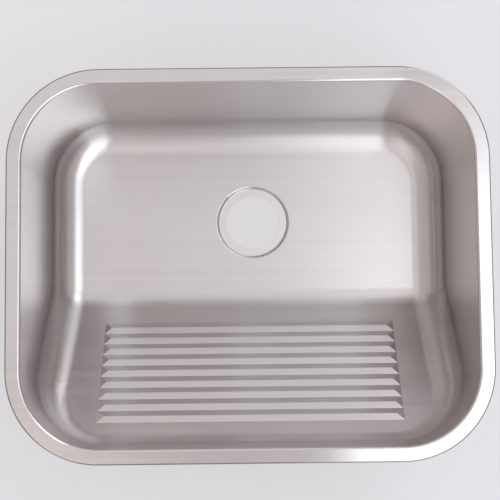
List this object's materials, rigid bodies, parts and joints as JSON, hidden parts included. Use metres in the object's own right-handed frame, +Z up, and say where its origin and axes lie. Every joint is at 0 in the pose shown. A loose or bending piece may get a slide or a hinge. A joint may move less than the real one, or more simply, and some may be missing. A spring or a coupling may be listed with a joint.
{
  "type": "laundry tub",
  "caption": "Stainless steel laundry tub with a sloping ribbed washboard, a flat rim to seat on a worktop, a round drain seat, damping pads and turn-out worktop clamps.",
  "frame": {"origin": "centre of the rim's seat, on the worktop's top face, under the middle of the rim", "axes": "+Z up, out of the bowl; X along the tub's length; -Y towards the user and the washboard"},
  "size_m": [0.534, 0.435, 0.218],
  "materials": {
    "brushed_sheet": "satin brushed stainless steel sheet",
    "foam_strip": "closed-cell foam, matt",
    "damping_rubber": "matt moulded rubber",
    "hanger_steel": "mill-finish stainless strip",
    "zinc_screw": "bright zinc plate",
    "zinc_claw": "zinc plate over pressed steel"
  },
  "bodies": {
    "tub": {"basin": "brushed_sheet", "rim_seal": "foam_strip", "floor_pad_left": "damping_rubber", "floor_pad_right": "damping_rubber", "back_pad": "damping_rubber", "side_pad_left": "damping_rubber", "side_pad_right": "damping_rubber", "clamp_hanger_1": "hanger_steel", "clamp_hanger_2": "hanger_steel", "clamp_hanger_3": "hanger_steel", "clamp_hanger_4": "hanger_steel", "clamp_hanger_5": "hanger_steel", "clamp_hanger_6": "hanger_steel", "clamp_hanger_7": "hanger_steel", "clamp_hanger_8": "hanger_steel"},
    "screw_1": {"clamp_screw_1": "zinc_screw"},
    "nut_1": {"clamp_nut_1": "zinc_screw"},
    "claw_1": {"clamp_claw_1": "zinc_claw"},
    "screw_2": {"clamp_screw_2": "zinc_screw"},
    "nut_2": {"clamp_nut_2": "zinc_screw"},
    "claw_2": {"clamp_claw_2": "zinc_claw"},
    "screw_3": {"clamp_screw_3": "zinc_screw"},
    "nut_3": {"clamp_nut_3": "zinc_screw"},
    "claw_3": {"clamp_claw_3": "zinc_claw"},
    "screw_4": {"clamp_screw_4": "zinc_screw"},
    "nut_4": {"clamp_nut_4": "zinc_screw"},
    "claw_4": {"clamp_claw_4": "zinc_claw"},
    "screw_5": {"clamp_screw_5": "zinc_screw"},
    "nut_5": {"clamp_nut_5": "zinc_screw"},
    "claw_5": {"clamp_claw_5": "zinc_claw"},
    "screw_6": {"clamp_screw_6": "zinc_screw"},
    "nut_6": {"clamp_nut_6": "zinc_screw"},
    "claw_6": {"clamp_claw_6": "zinc_claw"},
    "screw_7": {"clamp_screw_7": "zinc_screw"},
    "nut_7": {"clamp_nut_7": "zinc_screw"},
    "claw_7": {"clamp_claw_7": "zinc_claw"},
    "screw_8": {"clamp_screw_8": "zinc_screw"},
    "nut_8": {"clamp_nut_8": "zinc_screw"},
    "claw_8": {"clamp_claw_8": "zinc_claw"}
  },
  "joints": [
    {"name": "screw_turn_1", "type": "hinge", "parent": "tub", "child": "screw_1", "pos_m": [-0.11, 0.20651, -0.00027], "axis": [0, 0.0523, 0.9986], "range_deg": [0, 8228.6]},
    {"name": "nut_lift_1", "type": "slide", "parent": "tub", "child": "nut_1", "axis": [0, 0.0523, 0.9986], "range_m": [0, 0.016]},
    {"name": "claw_swing_1", "type": "hinge", "parent": "nut_1", "child": "claw_1", "pos_m": [-0.11, 0.20651, -0.00027], "axis": [0, 0.0523, 0.9986], "range_deg": [0, 90]},
    {"name": "screw_turn_2", "type": "hinge", "parent": "tub", "child": "screw_2", "pos_m": [0.11, 0.20651, -0.00027], "axis": [0, 0.0523, 0.9986], "range_deg": [0, 8228.6]},
    {"name": "nut_lift_2", "type": "slide", "parent": "tub", "child": "nut_2", "axis": [0, 0.0523, 0.9986], "range_m": [0, 0.016]},
    {"name": "claw_swing_2", "type": "hinge", "parent": "nut_2", "child": "claw_2", "pos_m": [0.11, 0.20651, -0.00027], "axis": [0, 0.0523, 0.9986], "range_deg": [0, 90]},
    {"name": "screw_turn_3", "type": "hinge", "parent": "tub", "child": "screw_3", "pos_m": [-0.25601, -0.07, -0.00027], "axis": [-0.0523, 0, 0.9986], "range_deg": [0, 8228.6]},
    {"name": "nut_lift_3", "type": "slide", "parent": "tub", "child": "nut_3", "axis": [-0.0523, 0, 0.9986], "range_m": [0, 0.016]},
    {"name": "claw_swing_3", "type": "hinge", "parent": "nut_3", "child": "claw_3", "pos_m": [-0.25601, -0.07, -0.00027], "axis": [-0.0523, 0, 0.9986], "range_deg": [0, 90]},
    {"name": "screw_turn_4", "type": "hinge", "parent": "tub", "child": "screw_4", "pos_m": [-0.25601, 0.07, -0.00027], "axis": [-0.0523, 0, 0.9986], "range_deg": [0, 8228.6]},
    {"name": "nut_lift_4", "type": "slide", "parent": "tub", "child": "nut_4", "axis": [-0.0523, 0, 0.9986], "range_m": [0, 0.016]},
    {"name": "claw_swing_4", "type": "hinge", "parent": "nut_4", "child": "claw_4", "pos_m": [-0.25601, 0.07, -0.00027], "axis": [-0.0523, 0, 0.9986], "range_deg": [0, 90]},
    {"name": "screw_turn_5", "type": "hinge", "parent": "tub", "child": "screw_5", "pos_m": [0.11, -0.20651, -0.00027], "axis": [0, -0.0523, 0.9986], "range_deg": [0, 8228.6]},
    {"name": "nut_lift_5", "type": "slide", "parent": "tub", "child": "nut_5", "axis": [0, -0.0523, 0.9986], "range_m": [0, 0.016]},
    {"name": "claw_swing_5", "type": "hinge", "parent": "nut_5", "child": "claw_5", "pos_m": [0.11, -0.20651, -0.00027], "axis": [0, -0.0523, 0.9986], "range_deg": [0, 90]},
    {"name": "screw_turn_6", "type": "hinge", "parent": "tub", "child": "screw_6", "pos_m": [-0.11, -0.20651, -0.00027], "axis": [0, -0.0523, 0.9986], "range_deg": [0, 8228.6]},
    {"name": "nut_lift_6", "type": "slide", "parent": "tub", "child": "nut_6", "axis": [0, -0.0523, 0.9986], "range_m": [0, 0.016]},
    {"name": "claw_swing_6", "type": "hinge", "parent": "nut_6", "child": "claw_6", "pos_m": [-0.11, -0.20651, -0.00027], "axis": [0, -0.0523, 0.9986], "range_deg": [0, 90]},
    {"name": "screw_turn_7", "type": "hinge", "parent": "tub", "child": "screw_7", "pos_m": [0.25601, 0.07, -0.00027], "axis": [0.0523, 0, 0.9986], "range_deg": [0, 8228.6]},
    {"name": "nut_lift_7", "type": "slide", "parent": "tub", "child": "nut_7", "axis": [0.0523, 0, 0.9986], "range_m": [0, 0.016]},
    {"name": "claw_swing_7", "type": "hinge", "parent": "nut_7", "child": "claw_7", "pos_m": [0.25601, 0.07, -0.00027], "axis": [0.0523, 0, 0.9986], "range_deg": [0, 90]},
    {"name": "screw_turn_8", "type": "hinge", "parent": "tub", "child": "screw_8", "pos_m": [0.25601, -0.07, -0.00027], "axis": [0.0523, 0, 0.9986], "range_deg": [0, 8228.6]},
    {"name": "nut_lift_8", "type": "slide", "parent": "tub", "child": "nut_8", "axis": [0.0523, 0, 0.9986], "range_m": [0, 0.016]},
    {"name": "claw_swing_8", "type": "hinge", "parent": "nut_8", "child": "claw_8", "pos_m": [0.25601, -0.07, -0.00027], "axis": [0.0523, 0, 0.9986], "range_deg": [0, 90]}
  ],
  "couplings": [
    {"joint": "screw_turn_1", "follows": "nut_lift_1", "rad_per_m": 8976},
    {"joint": "screw_turn_2", "follows": "nut_lift_2", "rad_per_m": 8976},
    {"joint": "screw_turn_3", "follows": "nut_lift_3", "rad_per_m": 8976},
    {"joint": "screw_turn_4", "follows": "nut_lift_4", "rad_per_m": 8976},
    {"joint": "screw_turn_5", "follows": "nut_lift_5", "rad_per_m": 8976},
    {"joint": "screw_turn_6", "follows": "nut_lift_6", "rad_per_m": 8976},
    {"joint": "screw_turn_7", "follows": "nut_lift_7", "rad_per_m": 8976},
    {"joint": "screw_turn_8", "follows": "nut_lift_8", "rad_per_m": 8976}
  ]
}
